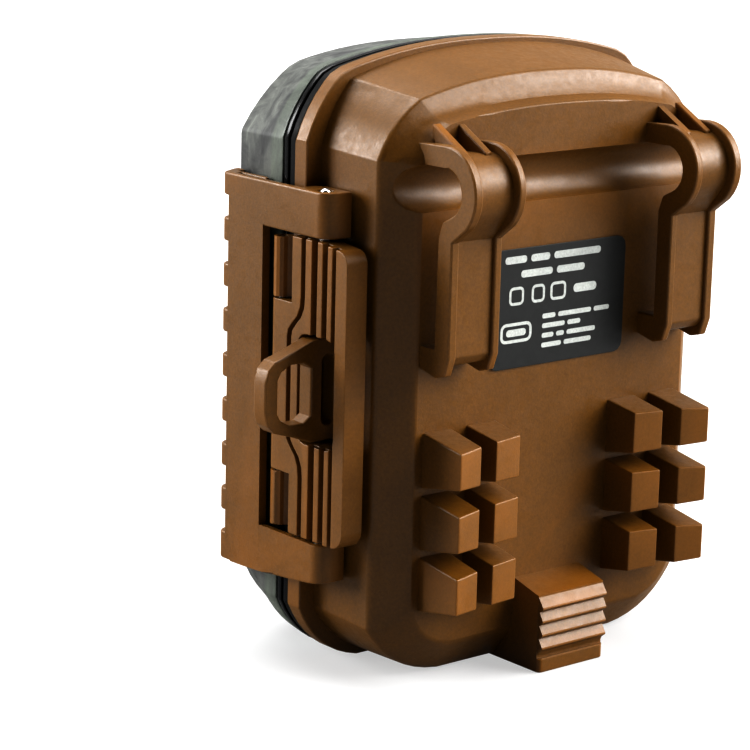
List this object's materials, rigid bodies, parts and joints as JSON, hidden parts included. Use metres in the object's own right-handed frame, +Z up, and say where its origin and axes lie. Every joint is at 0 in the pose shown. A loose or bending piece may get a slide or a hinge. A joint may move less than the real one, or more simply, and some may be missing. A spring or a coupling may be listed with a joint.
{
  "type": "trail camera",
  "caption": "Mini trail camera with a hinged front shell, an over-centre side latch with a padlock staple, and strap brackets, bark teeth and a tripod boss on its back.",
  "frame": {"origin": "on the flat bottom of the rear housing's parting flange, at the flange's middle plane and the case's left-right middle", "axes": "+Z up, +Y towards the tree side with the brackets and bark teeth, -Y the way the lens looks, +X towards the latch side, -X towards the door hinge"},
  "size_m": [0.0948, 0.06, 0.1044],
  "materials": {
    "brown_plastic": "semi-matte moulded plastic, earth brown, fine mould grain",
    "camo_plastic": "semi-matte plastic with a soft grey and green-grey camouflage print",
    "black_plastic": "black moulded plastic",
    "seal_rubber": "black sealing rubber",
    "key_rubber": "dark grey silicone rubber",
    "smoked_window": "dark polished window plastic",
    "milky_lens": "translucent white polyethylene",
    "steel": "bright nickel-plated steel",
    "brass": "turned brass",
    "circuit_board": "green solder mask",
    "card_plastic": "dark blue card plastic",
    "cell_wrap": "dark blue shrink film over a metal can"
  },
  "bodies": {
    "case": {"rear_housing": "brown_plastic", "label_plate": "black_plastic", "rim_seal": "seal_rubber", "tripod_insert": "brass", "battery_tray": "black_plastic", "cell_1": "cell_wrap", "cell_2": "cell_wrap", "cell_3": "cell_wrap", "cell_4": "cell_wrap", "contact_lower_1": "steel", "contact_lower_2": "steel", "contact_upper_1": "steel", "contact_upper_2": "steel", "lever_pin": "steel", "hinge_pin": "steel"},
    "door": {"front_shell": "camo_plastic", "front_frame": "black_plastic", "inner_panel": "black_plastic", "lens_bezel": "black_plastic", "lens_glass": "smoked_window", "lens_barrel": "black_plastic", "ir_window": "smoked_window", "ir_led_board": "circuit_board", "pir_lens": "milky_lens", "pir_sensor": "steel", "status_led": "milky_lens", "main_board": "circuit_board", "screen_module": "black_plastic", "screen_window": "smoked_window", "usb_socket": "steel", "card_socket": "steel", "memory_card": "card_plastic", "panel_screw_1": "steel", "panel_screw_2": "steel", "panel_screw_3": "steel", "panel_screw_4": "steel"},
    "lever": {"latch_lever": "brown_plastic"},
    "clasp": {"latch_clasp": "brown_plastic", "clasp_pin_lower": "steel", "clasp_pin_upper": "steel"},
    "up_key": {"key_up": "key_rubber"},
    "down_key": {"key_down": "key_rubber"},
    "left_key": {"key_left": "key_rubber"},
    "right_key": {"key_right": "key_rubber"},
    "ok_key": {"key_ok": "key_rubber"},
    "switch": {"power_switch": "black_plastic"}
  },
  "joints": [
    {"name": "door_swing", "type": "hinge", "parent": "case", "child": "door", "pos_m": [-0.0412, -0.0032, 0.0493], "axis": [0, 0, -1], "range_deg": [0, 95]},
    {"name": "lever_lift", "type": "hinge", "parent": "case", "child": "lever", "pos_m": [0.0404, -0.00245, 0.0493], "axis": [0, 0, -1], "range_deg": [0, 134]},
    {"name": "clasp_swing", "type": "hinge", "parent": "lever", "child": "clasp", "pos_m": [0.0394, 0.00735, 0.0493], "axis": [0, 0, 1], "range_deg": [0, 229]},
    {"name": "power_switch_slide", "type": "slide", "parent": "door", "child": "switch", "axis": [0, 0, 1], "range_m": [0, 0.004]},
    {"name": "up_key_press", "type": "slide", "parent": "door", "child": "up_key", "axis": [0, -1, 0], "range_m": [0, 0.0008], "stiffness_N_per_m": 250},
    {"name": "down_key_press", "type": "slide", "parent": "door", "child": "down_key", "axis": [0, -1, 0], "range_m": [0, 0.0008], "stiffness_N_per_m": 250},
    {"name": "left_key_press", "type": "slide", "parent": "door", "child": "left_key", "axis": [0, -1, 0], "range_m": [0, 0.0008], "stiffness_N_per_m": 250},
    {"name": "right_key_press", "type": "slide", "parent": "door", "child": "right_key", "axis": [0, -1, 0], "range_m": [0, 0.0008], "stiffness_N_per_m": 250},
    {"name": "ok_key_press", "type": "slide", "parent": "door", "child": "ok_key", "axis": [0, -1, 0], "range_m": [0, 0.0008], "stiffness_N_per_m": 250}
  ],
  "couplings": [
    {"joint": "lever_lift", "follows": "door_swing", "ratio": 1.4},
    {"joint": "clasp_swing", "follows": "door_swing", "ratio": 2.4}
  ]
}
